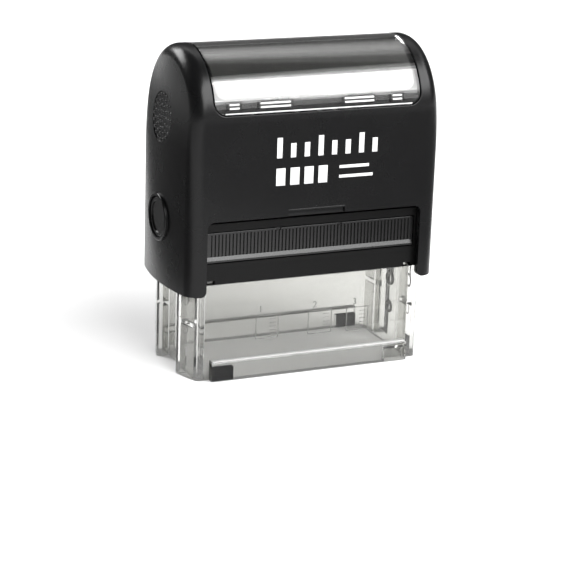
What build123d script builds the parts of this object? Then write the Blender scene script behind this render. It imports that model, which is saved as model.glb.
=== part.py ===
from build123d import *
import os
from math import asin, cos, sin, sqrt

# A self-inking stamp. Origin at the bottom centre, +Z up, +X right, the front faces -Y.
# A clear base stands on the paper. A black cap slides down over it against one spring and
# turns the text plate over on its way. All sizes are in millimetres.

# cap
cap_width = 75.2
cap_depth = 35.5
cap_height = 87.0
cap_bottom = 23.7
cap_wall = 1.9
crown_wall = 4.1
end_radius = 64.0
taper_drop = 28.0
taper_radius = 124.0
crease_radius = 4.0
inner_crease = 2.5
notch_half_width = 30.7
notch_top = 43.6
notch_corner = 1.8
leg_corner = 1.5
relief_half_width = 8.1
relief_top = 45.1
boss_radius = 3.0
boss_x = 18.0
grip_radius = 6.7
grip_drop = 18.9
grip_recess = 0.5

# index window and card
window_half_width = 29.4
window_drop = 15.8
window_corner = 3.5
window_recess = 1.6
window_rim_round = 0.3
window_thickness = 1.15
window_gap = 0.3
card_thickness = 0.25
card_margin = 1.2
tab_inner = 15.5
tab_drop = 12.6
tab_height = 1.9
long_tab_x = 11.8
long_tab_width = 9.0
short_tab_x = 23.1
short_tab_width = 3.2

# base
base_radius = 35.6
base_depth = 31.0
base_top = 26.2
base_wall = 1.5
channel_half_width = 6.4
channel_floor = 31.5
end_wall = 1.8
rail_half_length = 28.6
rail_depth = 35.0
rail_height = 5.5
rail_round = 0.9
corner_round = 1.0
shelf_z = 14.0
shelf_thickness = 1.2
foot_x = 25.3
foot_width = 6.0
foot_height = 3.6
foot_depth = 2.4
fit = 0.05

# travel and turning
travel = 22.0
face_height = 4.9
axle_radius = 1.6
axle_slot = 4.4

# upper frame and its cartridge bay
frame_top = 42.5
deck = 2.1
band_top = 31.8
band_step = 1.1
band_step_x = 27.5
run_gap = 0.35
bay_wall = 1.4
back_wall = 1.2
ledge_x = (31.5, 33.0)
latch_low = 30.2
latch_high = 35.6
latch_height = 1.2
latch_half_width = 2.4

# ink cartridge
tray_roof = 2.1
tray_wall = 1.0
tray_end = 2.6
pad_bottom = 33.1
pad_top = 37.9
rib_pitch = 1.0
rib_count = 58
rib_groove = 0.45
rib_low = 33.6
rib_high = 39.5
rib_depth = 0.4
lip_depth = 0.4
lip_round = 0.2
tab_notch = 1.4

# platen and rubber die
platen_gap = 0.4
platen_half_depth = 11.6
platen_above = 3.0
platen_below = 2.0
platen_rib = 3.0
platen_hollow = 1.6
cushion_thickness = 0.9
die_sheet = 0.6
die_half_width = 28.4
die_half_depth = 10.4

# bridge that carries the axle
arm_thickness = 1.2
arm_half_width = 5.9
arm_gap = 0.2
arm_bottom = 24.3
arm_slot = 6.0
bar_drop = 8.4
bar_thickness = 2.0
bar_chamfer = 1.0

# main spring
spring_radius = 5.0
spring_wire = 1.0
seat_radius = 3.6
seat_height = 2.0

# lock buttons
button_z = 41.4
button_radius = 5.3
button_proud = 0.3
button_dish = 0.3
button_gap = 0.2
collar_width = 0.9
collar_proud = 0.6
collar_round = 0.35
button_disc = 1.9
stem_side_margin = 1.3
stem_top_margin = 2.1
flange_half_width = 5.6
flange_height = 14.4
flange_thickness = 1.0
nose_half_width = 2.6
nose_height = 2.0
nose_clear = 0.2

cap_radius = cap_width / 2
arch_radius = cap_depth / 2
arch_z = cap_height - arch_radius
taper_start = cap_height - taper_drop
grip_z = cap_height - grip_drop
window_edge = cap_height - window_drop
tab_high = cap_height - tab_drop
tab_low = tab_high - tab_height
bar_top = cap_height - bar_drop
bar_bottom = bar_top - bar_thickness
stem_width = 2 * (button_radius - stem_side_margin)
stem_height = 2 * (button_radius - stem_top_margin)
base_half_depth = base_depth / 2
axle_z = face_height + travel
die_face = axle_z + face_height
well_half_width = channel_floor - end_wall
well_half_depth = base_half_depth - base_wall
bay_half_width = channel_floor - bay_wall
bay_back = base_half_depth - back_wall
tray_bottom = band_top + run_gap
tray_half_width = bay_half_width - button_gap
tray_back = bay_back - button_gap
tray_top = frame_top - deck - run_gap
tray_front = base_half_depth
platen_half_width = well_half_width - platen_gap
arm_inner = channel_floor + arm_gap
arm_outer = arm_inner + arm_thickness
window_outer = arch_radius - 0.05
window_inner = window_outer - window_thickness
recess_radius = arch_radius - window_recess

os.makedirs("parts", exist_ok=True)


def save(piece, name):
    piece.part.label = name
    export_step(piece.part, f"parts/{name}.step")


def arch(radius, bottom):
    """Closed side profile: straight walls under a half circle, drawn on the YZ plane."""
    with BuildSketch(Plane.YZ.offset(-cap_width)) as profile:
        with BuildLine():
            Polyline((-radius, arch_z), (-radius, bottom), (radius, bottom), (radius, arch_z))
            CenterArc((0, arch_z), radius, 0, 180)
        make_face()
    return profile.sketch


def bowed_end(side, inset, bottom, top):
    """A turned solid whose skin is one bowed end, drawn in towards the top."""
    axis_x = side * (cap_radius - end_radius)
    edge_x = cap_radius - inset
    radius = taper_radius - inset
    middle = (taper_start + top) / 2
    middle_x = edge_x - radius + sqrt(radius**2 - (middle - taper_start) ** 2)
    top_x = edge_x - radius + sqrt(radius**2 - (top - taper_start) ** 2)
    with BuildSketch(Plane.XZ) as profile:
        with BuildLine():
            Polyline((axis_x, top), (axis_x, bottom), (side * edge_x, bottom), (side * edge_x, taper_start))
            ThreePointArc((side * edge_x, taper_start), (side * middle_x, middle), (side * top_x, top))
            Line((side * top_x, top), (axis_x, top))
        make_face()
    with BuildPart() as turned:
        revolve(profile.sketch, axis=Axis((axis_x, 0, 0), (0, 0, 1)))
    return turned.part


def grip_plane(side):
    """The floor of a grip recess, tilted to follow the bowed end."""
    lean = asin((grip_z - taper_start) / taper_radius)
    floor_x = cap_radius - taper_radius * (1 - cos(lean)) - grip_recess
    return Plane(origin=(side * floor_x, 0, grip_z), x_dir=(0, 1, 0),
                 z_dir=(side * cos(lean), 0, sin(lean)))


def window_zone(half_width, edge, corner, inner):
    """The band of the crown that the window covers, down to an inner radius."""
    with BuildPart() as zone:
        with BuildSketch(Plane.XZ.offset(-cap_depth)) as face:
            with BuildLine():
                Polyline(
                    (-half_width, edge),
                    (half_width, edge),
                    (half_width, cap_height + 5),
                    (-half_width, cap_height + 5),
                    close=True,
                )
            make_face()
            fillet(face.vertices().group_by(Axis.Y)[0], corner)
        extrude(amount=2 * cap_depth)
        with BuildSketch(Plane.YZ.offset(-cap_width)) as core:
            with Locations((0, arch_z)):
                Circle(inner)
        extrude(amount=2 * cap_width, mode=Mode.SUBTRACT)
    return zone.part


# cap shell: two bowed ends under an arched side, hollow, with a notch front and back
with BuildPart() as cavity:
    add(bowed_end(-1, cap_wall, cap_bottom - 5, cap_height + 3))
    add(bowed_end(1, cap_wall, cap_bottom - 5, cap_height + 3), mode=Mode.INTERSECT)
    with BuildSketch(Plane.YZ.offset(-cap_width)):
        with BuildLine():
            inner_side = arch_radius - cap_wall
            inner_arch = arch_radius - crown_wall
            Polyline(
                (-inner_arch, arch_z),
                (-inner_side, arch_z - 3),
                (-inner_side, cap_bottom - 6),
                (inner_side, cap_bottom - 6),
                (inner_side, arch_z - 3),
                (inner_arch, arch_z),
            )
            CenterArc((0, arch_z), inner_arch, 0, 180)
        make_face()
    extrude(amount=2 * cap_width, mode=Mode.INTERSECT)
    corners = cavity.edges().filter_by(Axis.Z).filter_by(lambda e: abs(e.center().X) > notch_half_width)
    fillet(corners, inner_crease)

with BuildPart() as cap_shell:
    add(bowed_end(-1, 0, cap_bottom, cap_height + 3))
    add(bowed_end(1, 0, cap_bottom, cap_height + 3), mode=Mode.INTERSECT)
    extrude(arch(arch_radius, cap_bottom - 5), amount=2 * cap_width, mode=Mode.INTERSECT)
    creases = cap_shell.edges().filter_by(
        lambda e: abs(e.center().X) > notch_half_width and e.bounding_box().size.Z > 1)
    fillet(creases, crease_radius)
    add(cavity.part, mode=Mode.SUBTRACT)
    with Locations((boss_x, 0, bar_top), (-boss_x, 0, bar_top)):
        Cylinder(boss_radius, arch_z + arch_radius - crown_wall - bar_top + 1,
                 align=(Align.CENTER, Align.CENTER, Align.MIN))
    add(window_zone(window_half_width, window_edge, window_corner, recess_radius), mode=Mode.SUBTRACT)
    outline = cap_shell.edges().filter_by(
        lambda e: abs(e.center().X) < window_half_width + 0.01 and e.center().Z > window_edge - 0.01
        and all(abs(sqrt(v.Y**2 + (v.Z - arch_z) ** 2) - arch_radius) < 0.01 for v in e.vertices()))
    fillet(outline, window_rim_round)
    with BuildSketch(Plane.XZ.offset(-cap_depth)) as notch:
        with Locations((0, (cap_bottom + notch_top) / 2 - 5)):
            Rectangle(2 * notch_half_width, notch_top - cap_bottom + 10)
        fillet(notch.vertices().group_by(Axis.Y)[-1], notch_corner)
        with Locations((0, notch_top)):
            Rectangle(2 * relief_half_width, 2 * (relief_top - notch_top))
    extrude(amount=2 * cap_depth, mode=Mode.SUBTRACT)
    leg_edges = cap_shell.edges().filter_by(Axis.Y).filter_by(
        lambda e: abs(abs(e.center().X) - notch_half_width) < 0.01
        and abs(e.center().Z - cap_bottom) < 0.01)
    fillet(leg_edges, leg_corner)
    for side in (-1, 1):
        with BuildSketch(grip_plane(side)):
            Circle(grip_radius)
        extrude(amount=5, mode=Mode.SUBTRACT)
    for side in (-1, 1):
        with BuildSketch(Plane.YZ.offset(side * (cap_radius + collar_proud))):
            with Locations((0, button_z)):
                Circle(button_radius + button_gap + collar_width)
        extrude(amount=-side * (collar_proud + cap_wall / 2))
        collar = cap_shell.faces().sort_by(Axis.X)[-1 if side > 0 else 0]
        fillet(collar.edges(), collar_round)
    with BuildSketch(Plane.YZ.offset(-cap_width)):
        with Locations((0, button_z)):
            Circle(button_radius + button_gap)
    extrude(amount=2 * cap_width, mode=Mode.SUBTRACT)
    for side in (-1, 1):
        for x, width in ((long_tab_x, long_tab_width), (short_tab_x, short_tab_width)):
            for end in (-1, 1):
                with Locations((end * x, side * (tab_inner + 1 - window_gap), (tab_low + tab_high) / 2)):
                    Box(width + 2 * window_gap, 2, tab_high - tab_low + 2 * window_gap, mode=Mode.SUBTRACT)
save(cap_shell, "cap_shell")

# index window: a clear bowed cover with tabs that seat in pockets of the cap
with BuildPart() as index_window:
    extrude(arch(window_outer, cap_bottom), amount=2 * cap_width)
    add(window_zone(window_half_width - window_gap, window_edge + window_gap,
                    window_corner - window_gap, window_inner), mode=Mode.INTERSECT)
    for side in (-1, 1):
        for x, width in ((long_tab_x, long_tab_width), (short_tab_x, short_tab_width)):
            for end in (-1, 1):
                with Locations((end * x, side * (tab_inner + 0.6), (tab_low + tab_high) / 2)):
                    Box(width, 1.2, tab_high - tab_low)
save(index_window, "index_window")

# index card under the window
with BuildPart() as index_card:
    extrude(arch(recess_radius + card_thickness, cap_bottom), amount=2 * cap_width)
    add(window_zone(window_half_width - card_margin, tab_high + 2 * window_gap,
                    window_corner - card_margin, recess_radius), mode=Mode.INTERSECT)
save(index_card, "index_card")

# bridge: an inverted U inside the cap whose arms carry the platen axle
with BuildPart() as bridge:
    with Locations((0, 0, (bar_bottom + bar_top) / 2)):
        Box(2 * arm_outer, 2 * arm_half_width, bar_top - bar_bottom)
    for side in (-1, 1):
        with Locations((side * (arm_inner + arm_outer) / 2, 0, (arm_bottom + bar_top) / 2)):
            Box(arm_thickness, 2 * arm_half_width, bar_top - arm_bottom)
    chamfer(bridge.edges().filter_by(Axis.Y).group_by(Axis.Z)[-1], bar_chamfer)
    with BuildSketch(Plane.YZ.offset(-cap_width)):
        with Locations((0, axle_z)):
            Circle(axle_radius + fit)
        slot_low = axle_z + axle_radius + 1.0
        slot_high = latch_high + latch_height + travel + 0.7
        with Locations((0, (slot_low + slot_high) / 2)):
            Rectangle(arm_slot, slot_high - slot_low)
    extrude(amount=2 * cap_width, mode=Mode.SUBTRACT)
save(bridge, "bridge")

# base frame: clear, open below, with a channel at each end and a foot rail front and back
with BuildPart() as base_frame:
    with BuildSketch():
        Circle(base_radius)
        Rectangle(2 * base_radius, base_depth, mode=Mode.INTERSECT)
    extrude(amount=base_top)
    for side in (-1, 1):
        rail_reach = rail_depth / 2 - base_half_depth + base_wall
        with Locations((0, side * (rail_depth / 2 - rail_reach / 2), rail_height / 2)):
            Box(2 * rail_half_length, rail_reach, rail_height)
    rims = base_frame.edges().filter_by(Axis.X).filter_by(
        lambda e: abs(abs(e.center().Y) - rail_depth / 2) < 0.01 and e.center().Z > 1)
    fillet(rims, rail_round)
    with Locations((0, 0, base_top / 2)):
        Box(2 * well_half_width, 2 * well_half_depth, base_top + 1, mode=Mode.SUBTRACT)
    for side in (-1, 1):
        with Locations((side * (channel_floor + base_radius) / 2, 0, base_top / 2)):
            Box(base_radius - channel_floor, 2 * channel_half_width, base_top + 1, mode=Mode.SUBTRACT)
    with Locations((0, 0, face_height - axle_slot / 2)):
        Box(cap_width, axle_slot, base_top, align=(Align.CENTER, Align.CENTER, Align.MIN),
            mode=Mode.SUBTRACT)
    uprights = base_frame.edges().filter_by(Axis.Z).filter_by(
        lambda e: e.center().X**2 + e.center().Y**2 > (base_radius - 0.5) ** 2)
    fillet(uprights, corner_round)
    for low, high in ((-1, shelf_z), (shelf_z + shelf_thickness, base_top + 1)):
        with BuildSketch(Plane.XY.offset(low)):
            Circle(base_radius - base_wall)
            Rectangle(2 * base_radius, base_depth - 2 * base_wall, mode=Mode.INTERSECT)
            Rectangle(2 * channel_floor, base_depth, mode=Mode.SUBTRACT)
            Rectangle(2 * base_radius, 2 * (channel_half_width + base_wall), mode=Mode.SUBTRACT)
        extrude(amount=high - low, mode=Mode.SUBTRACT)
    for x in (-foot_x, foot_x):
        for side in (-1, 1):
            with Locations((x, side * (rail_depth / 2 - base_wall / 2 - foot_depth / 2), foot_height / 2)):
                Box(foot_width + 2 * fit, foot_depth, foot_height, mode=Mode.SUBTRACT)
save(base_frame, "base_frame")


def foot(x, side):
    """A soft foot pressed into a rail pocket, flush with the underside."""
    with BuildPart() as piece:
        with Locations((x, side * (rail_depth / 2 - base_wall / 2 - foot_depth / 2), foot_height / 2)):
            Box(foot_width, foot_depth, foot_height)
    return piece


foot_front_left = foot(-foot_x, -1)
save(foot_front_left, "foot_front_left")
foot_back_right = foot(foot_x, 1)
save(foot_back_right, "foot_back_right")

# upper frame: black, with the cartridge bay, the spring seat and the lock ledges
with BuildPart() as upper_frame:
    with BuildSketch(Plane.XY.offset(base_top)):
        Circle(base_radius)
        Rectangle(2 * base_radius, base_depth, mode=Mode.INTERSECT)
    extrude(amount=frame_top - base_top)
    fillet(upper_frame.edges().filter_by(Axis.Z), corner_round)
    with Locations((0, 0, (base_top + band_top) / 2)):
        Box(2 * well_half_width, 2 * well_half_depth, band_top - base_top + 1, mode=Mode.SUBTRACT)
    with Locations((0, (bay_back - base_half_depth) / 2 - 1, (band_top + frame_top - deck) / 2)):
        Box(2 * bay_half_width, bay_back + base_half_depth + 2, frame_top - deck - band_top,
            mode=Mode.SUBTRACT)
    for side in (-1, 1):
        with Locations((side * (channel_floor + base_radius) / 2, 0, (base_top + frame_top) / 2)):
            Box(base_radius - channel_floor, 2 * channel_half_width, frame_top - base_top + 1,
                mode=Mode.SUBTRACT)
        for low in (latch_low, latch_high):
            with Locations((side * sum(ledge_x) / 2, 0, low + latch_height / 2)):
                Box(ledge_x[1] - ledge_x[0], 2 * latch_half_width, latch_height)
        with Locations((side * (band_step_x + well_half_width) / 2, 0, base_top)):
            Box(well_half_width - band_step_x, base_depth, 2 * band_step, mode=Mode.SUBTRACT)
    slot_top = axle_z + axle_slot / 2
    with Locations((0, 0, (base_top + slot_top) / 2 - 0.5)):
        Box(cap_width, axle_slot, slot_top - base_top + 1, mode=Mode.SUBTRACT)
    with Locations((0, 0, frame_top)):
        Cylinder(seat_radius, seat_height, align=(Align.CENTER, Align.CENTER, Align.MIN))
save(upper_frame, "upper_frame")

# ink cartridge: a tray open below, ribbed in front, with the pad inside
with BuildPart() as cartridge_tray:
    with Locations((0, (tray_back - tray_front + lip_depth) / 2, (tray_bottom + tray_top) / 2)):
        Box(2 * tray_half_width, tray_back + tray_front - lip_depth, tray_top - tray_bottom)
    with BuildSketch(Plane.YZ.offset(-tray_half_width)):
        with BuildLine():
            Polyline(
                (-tray_front + lip_depth, rib_low),
                (-tray_front, rib_low - 1),
                (-tray_front, tray_bottom),
                (-tray_front + lip_depth, tray_bottom),
                close=True,
            )
        make_face()
    extrude(amount=2 * tray_half_width)
    front_edges = cartridge_tray.edges().filter_by(Axis.X).filter_by(
        lambda e: e.center().Y < -tray_front + lip_depth + 0.01 and abs(e.center().Z - rib_low) > 0.1
        and e.center().Z > tray_bottom + 0.01)
    fillet(front_edges, lip_round)
    pocket_half_width = tray_half_width - tray_wall
    with Locations((0, (tray_back - tray_front + lip_depth) / 2, (tray_bottom + pad_top) / 2 - 0.5)):
        Box(2 * pocket_half_width, tray_back + tray_front - lip_depth - 2 * tray_wall,
            pad_top - tray_bottom + 1, mode=Mode.SUBTRACT)
    rib_area = (rib_count - 1) * rib_pitch
    with Locations(Plane.XZ.offset(tray_front - lip_depth)):
        with Locations((0, (rib_low + rib_high) / 2)):
            with GridLocations(rib_pitch, 0, rib_count, 1):
                Box(rib_groove, rib_high - rib_low, 2 * rib_depth, mode=Mode.SUBTRACT)
    for x in (-9.6, 8.0):
        with Locations((x, -tray_front, tray_top)):
            Box(tab_notch, 2 * (lip_depth + rib_depth), tab_notch, mode=Mode.SUBTRACT)
save(cartridge_tray, "cartridge_tray")

with BuildPart() as ink_pad:
    pad_gap = 0.2
    pad_depth = tray_back + tray_front - lip_depth - 2 * (tray_wall + pad_gap)
    with Locations((0, (tray_back - tray_front + lip_depth) / 2, (pad_bottom + pad_top) / 2)):
        Box(2 * (pocket_half_width - pad_gap), pad_depth, pad_top - pad_bottom)
save(ink_pad, "ink_pad")

# platen: turns end over end on its axle pins and carries the cushion and the die
with BuildPart() as platen:
    with Locations((0, 0, axle_z + (platen_above - platen_below) / 2)):
        Box(2 * platen_half_width, 2 * platen_half_depth, platen_above + platen_below)
    for side in (-1, 1):
        with Locations((side * platen_half_width / 2, 0, axle_z - platen_below)):
            Box(platen_half_width - platen_rib, 2 * (platen_half_depth - platen_rib), 2 * platen_hollow,
                mode=Mode.SUBTRACT)
    with BuildSketch(Plane.YZ.offset(-arm_outer)):
        with Locations((0, axle_z)):
            Circle(axle_radius)
    extrude(amount=2 * arm_outer)
save(platen, "platen")

with BuildPart() as die_cushion:
    with Locations((0, 0, axle_z + platen_above)):
        Box(2 * die_half_width, 2 * die_half_depth, cushion_thickness,
            align=(Align.CENTER, Align.CENTER, Align.MIN))
save(die_cushion, "die_cushion")

with BuildPart() as rubber_die:
    sheet_z = axle_z + platen_above + cushion_thickness
    relief = die_face - sheet_z - die_sheet
    with Locations((0, 0, sheet_z)):
        Box(2 * die_half_width, 2 * die_half_depth, die_sheet,
            align=(Align.CENTER, Align.CENTER, Align.MIN))
    with BuildSketch(Plane.XY.offset(sheet_z + die_sheet)):
        Rectangle(2 * die_half_width, 2 * die_half_depth)
        Rectangle(2 * die_half_width - 1.6, 2 * die_half_depth - 1.6, mode=Mode.SUBTRACT)
        for line in (-1, 0, 1):
            with Locations((0, 5.4 * line)):
                Rectangle(2 * die_half_width - 12 - 8 * abs(line), 2.4)
    extrude(amount=relief)
save(rubber_die, "rubber_die")

# main spring, between the seat on the upper frame and the bridge
with BuildPart() as main_spring:
    with BuildSketch(Plane.XY.offset(frame_top)):
        Circle(spring_radius)
        Circle(spring_radius - spring_wire, mode=Mode.SUBTRACT)
    extrude(amount=bar_bottom - frame_top)
save(main_spring, "main_spring")


def lock_button(side):
    """A round push button with a flat stem, a retaining flange and a locking nose."""
    face = cap_radius + button_proud
    nose_tip = ledge_x[1] + nose_clear
    inner_end = end_radius - cap_wall
    bow = inner_end - sqrt(inner_end**2 - flange_half_width**2)
    flange_outer = cap_radius - cap_wall - bow - nose_clear
    flange_inner = flange_outer - flange_thickness
    with BuildPart() as button:
        with BuildSketch(Plane.YZ.offset(side * face)):
            with Locations((0, button_z)):
                Circle(button_radius)
        extrude(amount=-side * button_disc)
        rim = button.faces().sort_by(Axis.X)[-1 if side > 0 else 0]
        fillet(rim.edges(), button_dish)
        with BuildSketch(Plane.YZ.offset(side * face)):
            with Locations((0, button_z)):
                Circle(button_radius - 3 * button_dish)
        extrude(amount=-side * button_dish, mode=Mode.SUBTRACT)
        with Locations((side * (flange_inner + face - button_disc) / 2, 0, button_z)):
            Box(face - button_disc - flange_inner, stem_width, stem_height)
        with Locations((side * (flange_inner + flange_outer) / 2, 0, button_z)):
            Box(flange_thickness, 2 * flange_half_width, flange_height)
        with Locations((side * (nose_tip + flange_inner) / 2, 0, button_z)):
            Box(flange_inner - nose_tip, 2 * nose_half_width, nose_height)
    return button


lock_button_left = lock_button(-1)
save(lock_button_left, "lock_button_left")
lock_button_right = lock_button(1)
save(lock_button_right, "lock_button_right")
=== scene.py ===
from math import asin, cos, pi, radians, sin, tan

import bpy
from mathutils import Matrix, Vector


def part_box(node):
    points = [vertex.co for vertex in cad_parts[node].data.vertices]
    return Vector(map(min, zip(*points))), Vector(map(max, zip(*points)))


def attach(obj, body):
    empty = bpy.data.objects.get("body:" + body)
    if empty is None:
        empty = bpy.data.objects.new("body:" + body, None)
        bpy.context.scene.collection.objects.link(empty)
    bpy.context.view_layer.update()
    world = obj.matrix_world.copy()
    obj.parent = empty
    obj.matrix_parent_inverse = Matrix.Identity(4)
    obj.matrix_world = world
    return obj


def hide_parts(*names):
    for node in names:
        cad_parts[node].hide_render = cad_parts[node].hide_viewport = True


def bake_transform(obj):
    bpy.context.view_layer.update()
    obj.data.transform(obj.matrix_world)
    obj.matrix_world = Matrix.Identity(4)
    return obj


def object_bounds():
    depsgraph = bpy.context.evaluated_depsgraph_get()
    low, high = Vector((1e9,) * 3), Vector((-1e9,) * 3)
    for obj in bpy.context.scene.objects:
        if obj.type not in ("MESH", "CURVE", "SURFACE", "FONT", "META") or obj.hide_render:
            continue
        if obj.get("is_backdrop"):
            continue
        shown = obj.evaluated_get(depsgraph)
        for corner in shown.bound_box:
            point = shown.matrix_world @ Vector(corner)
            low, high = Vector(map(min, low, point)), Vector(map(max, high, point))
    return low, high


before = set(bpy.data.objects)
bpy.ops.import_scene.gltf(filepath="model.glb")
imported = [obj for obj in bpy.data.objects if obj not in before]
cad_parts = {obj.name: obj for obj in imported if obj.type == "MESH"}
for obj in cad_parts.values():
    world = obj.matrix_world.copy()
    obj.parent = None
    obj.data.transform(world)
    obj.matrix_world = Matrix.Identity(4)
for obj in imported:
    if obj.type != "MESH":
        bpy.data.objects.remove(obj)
cad_low, cad_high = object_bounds()
bpy.ops.object.select_all(action="DESELECT")
MM = 0.001


# Table top and studio. The stamp stands on a pale sweep under a bank of strip lights that
# bends over it from front to back, with one more box behind it on the left.
FLOOR_SIZE = 12
FLOOR_WHITE = 0.86
FLOOR_GLOW = 0.1
WORLD_GREY = 0.10
LIGHT_REACH = 3.0
LIGHT_AIM = Vector((0, 0, 0.06))
STRIP_LENGTH = 4.0
STRIP_SIDE = 0.40
STRIP_RISE = 0.917
CARD_LIFT = 0.0006
CARD_SIZE = (0.5, 0.7, 1)
SMOOTH_ANGLE = 0.6


def plain_material(name, colour, roughness, specular=0.5):
    made = bpy.data.materials.new(name)
    made.use_nodes = True
    shader = made.node_tree.nodes["Principled BSDF"]
    shader.inputs["Base Color"].default_value = (*colour, 1)
    shader.inputs["Roughness"].default_value = roughness
    shader.inputs["Specular IOR Level"].default_value = specular
    return made


def matt_grey(name, shade):
    return plain_material(name, (shade, shade, shade), 0.9, 0.1)


bpy.ops.mesh.primitive_plane_add(size=FLOOR_SIZE, location=(0, 0, cad_low[2]))
floor = bpy.context.object
floor.name = "floor"
pale_sweep = matt_grey("pale_sweep", FLOOR_WHITE)
sweep_shader = pale_sweep.node_tree.nodes["Principled BSDF"]
sweep_shader.inputs["Emission Color"].default_value = (1, 1, 1, 1)
sweep_shader.inputs["Emission Strength"].default_value = FLOOR_GLOW
floor.data.materials.append(pale_sweep)
floor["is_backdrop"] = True
floor.select_set(False)

world = bpy.data.worlds.new("studio")
bpy.context.scene.world = world
world.use_nodes = True
world.node_tree.nodes["Background"].inputs["Color"].default_value = (WORLD_GREY, WORLD_GREY, WORLD_GREY, 1)
bpy.context.scene.view_settings.view_transform = "Standard"


def soft_box(name, direction, width, height, radiance):
    """An area light that faces the stamp from a direction, with a given brightness."""
    toward = Vector(direction).normalized()
    light = bpy.data.lights.new(name, "AREA")
    light.shape = "RECTANGLE"
    light.size = width
    light.size_y = height
    light.energy = radiance * pi * width * height
    holder = bpy.data.objects.new(name, light)
    holder.location = LIGHT_AIM + toward * LIGHT_REACH
    holder.rotation_euler = toward.to_track_quat("Z", "Y").to_euler()
    bpy.context.scene.collection.objects.link(holder)


# Each strip is given by its lift above the front horizon, its spread (both in degrees)
# and its radiance.
for lift, spread, radiance in (
    (7, 10, 0.5),
    (16, 8, 1.5),
    (24, 7, 4.5),
    (43, 30, 8.5),
    (61, 6, 4.0),
    (67, 6, 1.5),
    (101, 8, 0.3),
    (109, 8, 0.7),
    (117, 8, 0.95),
    (126, 10, 0.8),
    (136, 9, 0.35),
):
    forward = -STRIP_RISE * cos(radians(lift))
    upward = STRIP_RISE * sin(radians(lift))
    strip_height = 2 * LIGHT_REACH * tan(radians(spread / 2))
    soft_box("strip_%d" % lift, (STRIP_SIDE, forward, upward), STRIP_LENGTH, strip_height, radiance)
soft_box("back_left_box", (-0.45, 0.72, 0.56), 1.6, 1.4, 11.0)


def lay_card(name, x, y, turn, shade):
    """A card on the sweep for the black skin to mirror, out of sight only from the front."""
    bpy.ops.object.select_all(action="DESELECT")
    bpy.ops.mesh.primitive_plane_add(size=1, location=(x, y, CARD_LIFT), rotation=(0, 0, turn))
    flag = bpy.context.object
    flag.name = name
    flag.scale = CARD_SIZE
    flag.data.materials.append(matt_grey(name + "_grey", shade))
    flag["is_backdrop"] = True
    flag.select_set(False)


lay_card("left_card", -0.266, 0.310, -0.283, 0.09)
lay_card("front_card", 0.262, -0.276, -0.572, 0.22)

camera_data = bpy.data.cameras.new("camera")
camera_data.lens = 124.9
camera_data.sensor_width = 36
camera = bpy.data.objects.new("camera", camera_data)
bpy.context.scene.collection.objects.link(camera)
bpy.context.scene.camera = camera
eye = Vector((-0.21648, -0.47470, 0.18075))
camera.matrix_world = Matrix((
    (0.9132, 0.0925, -0.3969, eye.x),
    (-0.4062, 0.2848, -0.8682, eye.y),
    (0.0328, 0.9541, 0.2977, eye.z),
    (0, 0, 0, 1),
))


# Shared effect: the fine unevenness of moulded plastic, with a breath of wear in the gloss.
HAZE_SCALE = 90
PIT_SCALE = 2600
TINTING = 0.35
CLEAR_TINTING = 0.04
FINE_BUMP = 0.000004


def moulded_group():
    group = bpy.data.node_groups.new("moulded_surface", "ShaderNodeTree")
    group.interface.new_socket("Colour", in_out="INPUT", socket_type="NodeSocketColor")
    for name in ("Gloss", "Spread", "Grain", "Tinting"):
        group.interface.new_socket(name, in_out="INPUT", socket_type="NodeSocketFloat")
    group.interface.new_socket("Colour", in_out="OUTPUT", socket_type="NodeSocketColor")
    for name in ("Roughness", "Height"):
        group.interface.new_socket(name, in_out="OUTPUT", socket_type="NodeSocketFloat")
    nodes, links = group.nodes, group.links
    start = nodes.new("NodeGroupInput")
    end = nodes.new("NodeGroupOutput")
    coords = nodes.new("ShaderNodeTexCoord")
    haze = nodes.new("ShaderNodeTexNoise")
    haze.inputs["Scale"].default_value = HAZE_SCALE
    haze.inputs["Detail"].default_value = 4
    links.new(coords.outputs["Object"], haze.inputs["Vector"])
    centred = nodes.new("ShaderNodeMath")
    centred.operation = "SUBTRACT"
    centred.inputs[1].default_value = 0.5
    links.new(haze.outputs["Fac"], centred.inputs[0])
    swing = nodes.new("ShaderNodeMath")
    swing.operation = "MULTIPLY_ADD"
    links.new(centred.outputs[0], swing.inputs[0])
    links.new(start.outputs["Spread"], swing.inputs[1])
    links.new(start.outputs["Gloss"], swing.inputs[2])
    links.new(swing.outputs[0], end.inputs["Roughness"])
    tint = nodes.new("ShaderNodeMix")
    tint.data_type = "RGBA"
    tint.blend_type = "MULTIPLY"
    links.new(start.outputs["Tinting"], tint.inputs["Factor"])
    links.new(start.outputs["Colour"], tint.inputs["A"])
    links.new(haze.outputs["Fac"], tint.inputs["B"])
    links.new(tint.outputs["Result"], end.inputs["Colour"])
    pits = nodes.new("ShaderNodeTexNoise")
    pits.inputs["Scale"].default_value = PIT_SCALE
    pits.inputs["Detail"].default_value = 2
    links.new(coords.outputs["Object"], pits.inputs["Vector"])
    depth = nodes.new("ShaderNodeMath")
    depth.operation = "MULTIPLY"
    links.new(pits.outputs["Fac"], depth.inputs[0])
    links.new(start.outputs["Grain"], depth.inputs[1])
    links.new(depth.outputs[0], end.inputs["Height"])
    return group


moulded = moulded_group()


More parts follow.
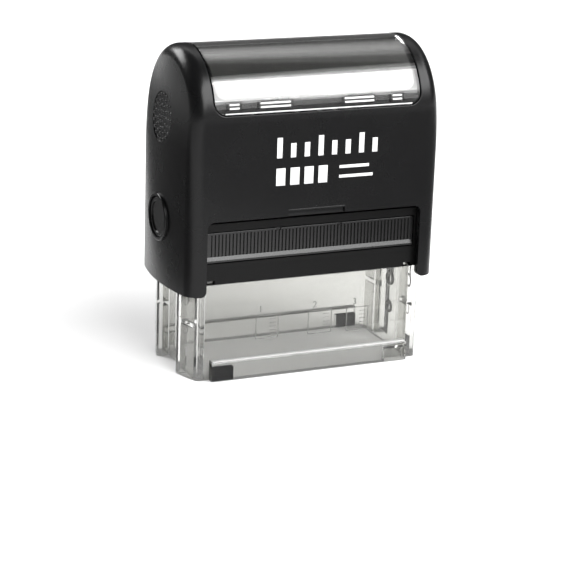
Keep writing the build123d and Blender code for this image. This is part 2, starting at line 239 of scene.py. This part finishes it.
def moulded_plastic(name, colour, gloss, spread, grain, specular=0.5, bump=0.00002):
    made = plain_material(name, colour, gloss, specular)
    nodes, links = made.node_tree.nodes, made.node_tree.links
    shader = nodes["Principled BSDF"]
    effect = nodes.new("ShaderNodeGroup")
    effect.node_tree = moulded
    effect.inputs["Colour"].default_value = (*colour, 1)
    effect.inputs["Gloss"].default_value = gloss
    effect.inputs["Spread"].default_value = spread
    effect.inputs["Grain"].default_value = grain
    effect.inputs["Tinting"].default_value = TINTING
    links.new(effect.outputs["Colour"], shader.inputs["Base Color"])
    links.new(effect.outputs["Roughness"], shader.inputs["Roughness"])
    relief = nodes.new("ShaderNodeBump")
    relief.inputs["Distance"].default_value = bump
    links.new(effect.outputs["Height"], relief.inputs["Height"])
    links.new(relief.outputs["Normal"], shader.inputs["Normal"])
    return made


def clear_plastic(name, colour, gloss, index):
    """Clear moulded plastic: the same surface effect, with light let through."""
    made = moulded_plastic(name, colour, gloss, 0.02, 0.02, 0.5, FINE_BUMP)
    shader = made.node_tree.nodes["Principled BSDF"]
    effect = made.node_tree.nodes["Group"]
    effect.inputs["Tinting"].default_value = CLEAR_TINTING
    shader.inputs["Transmission Weight"].default_value = 1.0
    shader.inputs["IOR"].default_value = index
    return made


def finish_node(node, material):
    """Gives a CAD node one material all over."""
    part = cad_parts[node]
    for slot in part.material_slots:
        slot.material = material
    if not part.material_slots:
        part.data.materials.append(material)


def apply_place(piece):
    """Puts a piece's place into its mesh, with its object at the origin."""
    bpy.ops.object.select_all(action="DESELECT")
    piece.select_set(True)
    bpy.context.view_layer.objects.active = piece
    bpy.ops.object.transform_apply(location=True, rotation=True, scale=True)
    piece.select_set(False)


def rounded_block(centre, size, edge, segments=3, turn=None):
    """A moulded block with rounded edges, its centre and size in metres."""
    bpy.ops.object.select_all(action="DESELECT")
    bpy.ops.mesh.primitive_cube_add(size=1, location=(0, 0, 0))
    block = bpy.context.object
    block.scale = size
    apply_place(block)
    block.select_set(True)
    bpy.context.view_layer.objects.active = block
    soften = block.modifiers.new("edges", "BEVEL")
    soften.width = edge
    soften.segments = segments
    bpy.ops.object.modifier_apply(modifier="edges")
    if turn is not None:
        block.rotation_euler = turn
    block.location = centre
    apply_place(block)
    return block


def finish_piece(piece, material, body):
    """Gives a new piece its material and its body."""
    bpy.ops.object.select_all(action="DESELECT")
    piece.select_set(True)
    bpy.context.view_layer.objects.active = piece
    bpy.ops.object.shade_smooth_by_angle(angle=SMOOTH_ANGLE)
    piece.data.materials.clear()
    piece.data.materials.append(material)
    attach(piece, body)
    piece.select_set(False)


def join_pieces(pieces, name):
    bpy.ops.object.select_all(action="DESELECT")
    for piece in pieces:
        piece.select_set(True)
    bpy.context.view_layer.objects.active = pieces[0]
    if len(pieces) > 1:
        bpy.ops.object.join()
    joined = bpy.context.object
    joined.name = name
    joined.data.name = name
    joined.select_set(False)
    return joined


# Cap shell: one injection moulding in black ABS with a semi-gloss skin. Its bowed ends
# meet the flat front in a soft crease, and it slides down over the base.
cap_black = moulded_plastic("cap_black", (0.0045, 0.0045, 0.0048), 0.27, 0.08, 0.35, 0.24)
finish_node("cap_shell", cap_black)
cap_low, cap_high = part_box("cap_shell")

# Relief web: the thin wall at the back of the shallow relief above each notch, in one with
# the cap, where a finger lifts the cartridge free.
WEB = ((0.01680, 0.04435), (0.0164, 0.0009, 0.0016), 0.00005)
LIP = ((0.01755, 0.04530), (0.0166, 0.00052, 0.00055), 0.00024)
webs = []
for side in (-1, 1):
    (out, up), size, edge = WEB
    webs.append(rounded_block((0, side * out, up), size, edge))
    (out, up), size, edge = LIP
    webs.append(rounded_block((0, side * out, up), size, edge, 4))
finish_piece(join_pieces(webs, "relief_webs"), cap_black, "cap")

# Pad print: a plain white motif of bars in one thin film on the cap's front, where such
# stamps carry their print.
print_white = moulded_plastic("print_white", (0.86, 0.86, 0.86), 0.45, 0.05, 0.1, 0.3)
PRINT_Y = cap_low[1] - 0.00001
PRINT_FILM = 0.00006
PRINT_EDGE = 0.00002
UPPER_LINE = 59.4
LOWER_LINE = 54.4
bars = []
for step in range(8):
    tall = 5.4 if step % 3 == 0 else 3.8
    bars.append((-11.2 + 3.9 * step, UPPER_LINE + tall / 2, 1.5, tall))
for step in range(4):
    bars.append((-10.7 + 4.0 * step, LOWER_LINE, 2.6, 4.6))
bars.append((10.3, 56.0, 8.6, 0.8))
bars.append((10.9, 53.4, 9.8, 0.8))
films = []
for x, z, wide, tall in bars:
    place = (x * MM, PRINT_Y + PRINT_FILM / 2, z * MM)
    films.append(rounded_block(place, (wide * MM, PRINT_FILM, tall * MM), PRINT_EDGE, 2))
finish_piece(join_pieces(films, "front_print"), print_white, "cap")

# Grip dots: low round pips moulded into a round recess at each end of the cap, one
# ring inside another, so that a thumb and finger hold when the cap is pressed.
GRIP_Z = 0.0681
GRIP_RISE = 0.0091
GRIP_RECESS = 0.0005
CAP_HALF_WIDTH = 0.0376
BOW_RADIUS = 0.124
GRIP_LEAN = asin(GRIP_RISE / BOW_RADIUS)
GRIP_FLOOR = CAP_HALF_WIDTH - BOW_RADIUS * (1 - cos(GRIP_LEAN)) - GRIP_RECESS
GRIP_RINGS = ((0.0, 1), (1.5, 6), (3.0, 11), (4.45, 15), (5.9, 20))
DOT_RADIUS = 0.00042
DOT_FLATNESS = 0.8
# The pips are the cap's black ABS; their colour is lifted above the cap's black as a painted sheen for the
# highlights on them.
grip_dot_painted_sheen = moulded_plastic("grip_black_painted_sheen", (0.012, 0.012, 0.012), 0.22, 0.08, 0.3, 0.6)


def grip_dot(across, up, side):
    bpy.ops.object.select_all(action="DESELECT")
    place = (side * (GRIP_FLOOR - up * sin(GRIP_LEAN)), across, GRIP_Z + up * cos(GRIP_LEAN))
    bpy.ops.mesh.primitive_uv_sphere_add(segments=16, ring_count=8, radius=DOT_RADIUS, location=place)
    dot = bpy.context.object
    dot.scale = (DOT_FLATNESS, 1, 1)
    apply_place(dot)
    return dot


for side, end in ((-1, "left"), (1, "right")):
    dots = []
    for ring, count in GRIP_RINGS:
        for step in range(count):
            turn = 2 * pi * (step + 0.5 * (count % 2)) / count
            dots.append(grip_dot(ring * MM * cos(turn), ring * MM * sin(turn), side))
    finish_piece(join_pieces(dots, "grip_dots_" + end), grip_dot_painted_sheen, "cap")

# Index window: a bowed cover in clear styrene, snapped over the card on the crown.
window_clear = clear_plastic("window_clear", (0.92, 0.92, 0.91), 0.03, 1.5)
finish_node("index_window", window_clear)

# Snap tabs: two long and two short catches in one piece with the window, front and
# back, that press into the cap's pockets. Each is a pair of ribs over a dark pocket. The
# ribs, and one long line along the window's front and back edges, are painted light grey
# as a painted highlight for the glints on the clear tabs' edges and on the window's edge.
tab_painted_highlight = moulded_plastic("tab_painted_highlight", (0.80, 0.80, 0.79), 0.10, 0.05, 0.05, 0.6)
pocket_dark = moulded_plastic("pocket_dark", (0.012, 0.012, 0.012), 0.30, 0.05, 0.1, 0.4)
ARCH_Z = (cap_high[2] - cap_high[1]) / MM
BOW_SKIN = 17.72
TABS = ((-23.9, 2.9), (-12.5, 8.6), (11.3, 8.6), (22.3, 2.9))
TAB_HEIGHT = 73.45
RIB_HEIGHTS = (73.0, 73.95)
RIM_HEIGHT = 71.72
RIM_LENGTH = 53.0


def on_arch(x, height, radius, side):
    """A point on the window's bow, at a height, with the lean of the bow there."""
    lean = asin((height - ARCH_Z) / radius)
    place = (x * MM, side * radius * cos(lean) * MM, height * MM)
    return place, (side * lean, 0, 0)


ribs = []
pockets = []
for side in (-1, 1):
    for x, wide in TABS:
        place, turn = on_arch(x, TAB_HEIGHT, BOW_SKIN - 0.28, side)
        pockets.append(rounded_block(place, ((wide + 0.7) * MM, 0.5 * MM, 2.1 * MM), 0.15 * MM, 3, turn))
        for height in RIB_HEIGHTS:
            place, turn = on_arch(x, height, BOW_SKIN - 0.22, side)
            ribs.append(rounded_block(place, (wide * MM, 0.5 * MM, 0.62 * MM), 0.2 * MM, 4, turn))
# Rim line: a painted highlight along the window's edge, in the tabs' light grey.
for side in (-1, 1):
    place, turn = on_arch(0, RIM_HEIGHT, BOW_SKIN - 0.12, side)
    ribs.append(rounded_block(place, (RIM_LENGTH * MM, 0.26 * MM, 0.34 * MM), 0.1 * MM, 3, turn))
finish_piece(join_pieces(ribs, "window_tab_ribs"), tab_painted_highlight, "window")
finish_piece(join_pieces(pockets, "window_tab_pockets"), pocket_dark, "window")

# Index card: a blank slip of silvered card under the index window.
card_silver = moulded_plastic("card_silver", (0.05, 0.05, 0.048), 0.14, 0.05, 0.05, 0.8)
finish_node("index_card", card_silver)

# Base frame: clear styrene with a smoky tint, moulded in one piece with its foot rails.
base_smoky = clear_plastic("base_smoky", (0.71, 0.71, 0.69), 0.03, 1.45)
finish_node("base_frame", base_smoky)

# Placing marks: numerals and small ladder frames raised on the clear front wall, which
# line the stamp up with a ruled line on the paper.
mark_grey = moulded_plastic("mark_grey", (0.20, 0.20, 0.19), 0.35, 0.05, 0.1, 0.5)
WALL_Y = -0.0155
MARK_RISE = 0.00012
MARK_EDGE = 0.00003
DIGIT_SIZE = 2.6
DIGITS = (("1", -14.3, 18.2), ("2", 1.5, 17.9), ("3", 13.3, 17.6))
LADDERS = ((-15.5, -9.1, 10.0, 16.4), (-0.3, 6.5, 9.8, 16.2), (11.0, 17.4, 9.6, 16.0))
LINE = 0.22
RUNG = 0.16
RUNG_LENGTH = 1.8
RUNG_INSET = 1.6
marks = []


def mark_bar(x, z, wide, tall):
    place = (x * MM, WALL_Y - MARK_RISE / 2, z * MM)
    marks.append(rounded_block(place, (wide * MM, MARK_RISE, tall * MM), MARK_EDGE, 2))


for digit, x, z in DIGITS:
    bpy.ops.object.select_all(action="DESELECT")
    bpy.ops.object.text_add(location=(0, 0, 0))
    numeral = bpy.context.object
    numeral.data.body = digit
    numeral.data.align_x = "CENTER"
    numeral.data.align_y = "CENTER"
    numeral.data.size = DIGIT_SIZE * MM
    numeral.data.extrude = MARK_RISE / 2
    numeral.data.resolution_u = 4
    bpy.ops.object.convert(target="MESH")
    numeral = bpy.context.object
    numeral.rotation_euler = (pi / 2, 0, 0)
    numeral.location = (x * MM, WALL_Y - MARK_RISE / 2, z * MM)
    apply_place(numeral)
    marks.append(numeral)
for left, right, low, top in LADDERS:
    for z in (low, top):
        mark_bar((left + right) / 2, z, right - left, LINE)
    for x in (left, right):
        mark_bar(x, (low + top) / 2, LINE, top - low)
    for rung in range(1, 6):
        mark_bar(right - RUNG_INSET, low + rung * (top - low) / 6, RUNG_LENGTH, RUNG)
finish_piece(join_pieces(marks, "placing_marks"), mark_grey, "base")

# Rail top strips: a pale opaque bar along the top of each foot rail, a painted highlight
# standing for the bright band that the lights leave on the clear rail's top.
rail_top_painted_highlight = moulded_plastic("rail_top_painted_highlight", (0.52, 0.52, 0.51), 0.30, 0.08, 0.3, 0.5)
BEAD_SIZE = (0.0568, 0.0017, 0.00056)
beads = []
for side in (-1, 1):
    beads.append(rounded_block((0, side * 0.01640, 0.00528), BEAD_SIZE, 0.00024, 4))
finish_piece(join_pieces(beads, "rail_top_highlights"), rail_top_painted_highlight, "base")

# Wall catches: two rings and a small hook on the inside of each end wall. They stand for
# the cam track, which isn't modelled.
catch_grey = moulded_plastic("catch_grey", (0.30, 0.30, 0.29), 0.12, 0.05, 0.1, 0.6)
CATCH_X = 0.0294
CATCH_Y = -0.0040
RINGS = ((11.4, 1.45, 0.38), (19.6, 1.7, 0.45))
HOOK_SIZE = (0.0008, 0.0009, 0.0042)
catches = []
for side in (-1, 1):
    for z, major, minor in RINGS:
        bpy.ops.object.select_all(action="DESELECT")
        bpy.ops.mesh.primitive_torus_add(major_segments=32, minor_segments=10, major_radius=major * MM,
                                         minor_radius=minor * MM, rotation=(0, pi / 2, 0),
                                         location=(side * CATCH_X, CATCH_Y, z * MM))
        ring = bpy.context.object
        apply_place(ring)
        catches.append(ring)
    catches.append(rounded_block((side * CATCH_X, -0.0050, 0.0226), HOOK_SIZE, 0.0002))
finish_piece(join_pieces(catches, "wall_catches"), catch_grey, "base")

# Upper frame: black ABS with a satin skin, pressed on to the clear base. It holds the
# cartridge, the spring seat and the ledges that the lock noses meet.
frame_black = moulded_plastic("frame_black", (0.004, 0.004, 0.004), 0.30, 0.10, 0.4, 0.16)
finish_node("upper_frame", frame_black)

# Bridge: the black inverted U inside the cap whose arms carry the platen's axle.
finish_node("bridge", frame_black)

# Ink cartridge: a black tray with a ribbed front to pull it by, open below over the pad.
cartridge_black = moulded_plastic("cartridge_black", (0.006, 0.006, 0.0062), 0.20, 0.08, 0.3, 0.5)
finish_node("cartridge_tray", cartridge_black)

# Lock buttons: one at each end of the cap, glossy black.
button_black = moulded_plastic("button_black", (0.006, 0.006, 0.006), 0.16, 0.06, 0.1, 0.5)
finish_node("lock_button_left", button_black)
finish_node("lock_button_right", button_black)

# Feet: two small glossy black blocks on the foot rails.
foot_black = moulded_plastic("foot_black", (0.006, 0.006, 0.006), 0.18, 0.06, 0.1, 0.5)
finish_node("foot_front_left", foot_black)
finish_node("foot_back_right", foot_black)

# Ink pad: a block of dyed felt held inside the cartridge.
finish_node("ink_pad", moulded_plastic("ink_felt", (0.02, 0.015, 0.07), 0.85, 0.2, 1.0, 0.2, 0.0001))

# Platen, cushion and die: a grey moulding that turns on its pins, a foam sheet bonded to
# it and the cut rubber sheet on top, which prints.
finish_node("platen", moulded_plastic("platen_grey", (0.34, 0.34, 0.34), 0.42, 0.1, 0.4))
finish_node("die_cushion", moulded_plastic("cushion_grey", (0.16, 0.16, 0.16), 0.8, 0.1, 1.0, 0.3))
finish_node("rubber_die", moulded_plastic("die_rubber", (0.30, 0.22, 0.22), 0.55, 0.1, 0.6, 0.4))

# Main spring: drawn steel wire wound in an even helix, with closed and ground ends. It
# stands on the upper frame's seat and lifts the cap through the bridge.
spring_steel = moulded_plastic("spring_steel", (0.55, 0.55, 0.56), 0.26, 0.08, 0.2, 0.5, FINE_BUMP)
spring_steel.node_tree.nodes["Principled BSDF"].inputs["Metallic"].default_value = 1.0
spring_low, spring_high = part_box("main_spring")
finish_node("main_spring", spring_steel)
WIRE_RADIUS = 0.00048
WIRE_SIDES = 14
COIL_RADIUS = spring_high[0] - 0.0005
COIL_STEPS = 40
TURNS = 7
first_coil = spring_low[2] + WIRE_RADIUS
last_coil = spring_high[2] - WIRE_RADIUS
bpy.ops.object.select_all(action="DESELECT")
bpy.ops.mesh.primitive_circle_add(vertices=WIRE_SIDES, radius=WIRE_RADIUS, rotation=(pi / 2, 0, 0),
                                  location=(COIL_RADIUS, 0, first_coil))
helix = bpy.context.object
apply_place(helix)
helix.select_set(True)
wind = helix.modifiers.new("wind", "SCREW")
wind.axis = "Z"
wind.angle = 2 * pi
wind.screw_offset = (last_coil - first_coil) / TURNS
wind.iterations = TURNS
wind.steps = COIL_STEPS
wind.render_steps = COIL_STEPS
bpy.ops.object.modifier_apply(modifier="wind")
helix.select_set(False)
coils = [helix]
for z in (first_coil, last_coil):
    bpy.ops.object.select_all(action="DESELECT")
    bpy.ops.mesh.primitive_torus_add(major_segments=COIL_STEPS, minor_segments=WIRE_SIDES,
                                     major_radius=COIL_RADIUS, minor_radius=WIRE_RADIUS, location=(0, 0, z))
    closed = bpy.context.object
    apply_place(closed)
    coils.append(closed)
spring = join_pieces(coils, "spring_helix")
spring.select_set(True)
bpy.ops.object.shade_smooth()
spring.select_set(False)
spring.data.materials.clear()
spring.data.materials.append(spring_steel)
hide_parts("main_spring")
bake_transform(spring)

low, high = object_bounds()
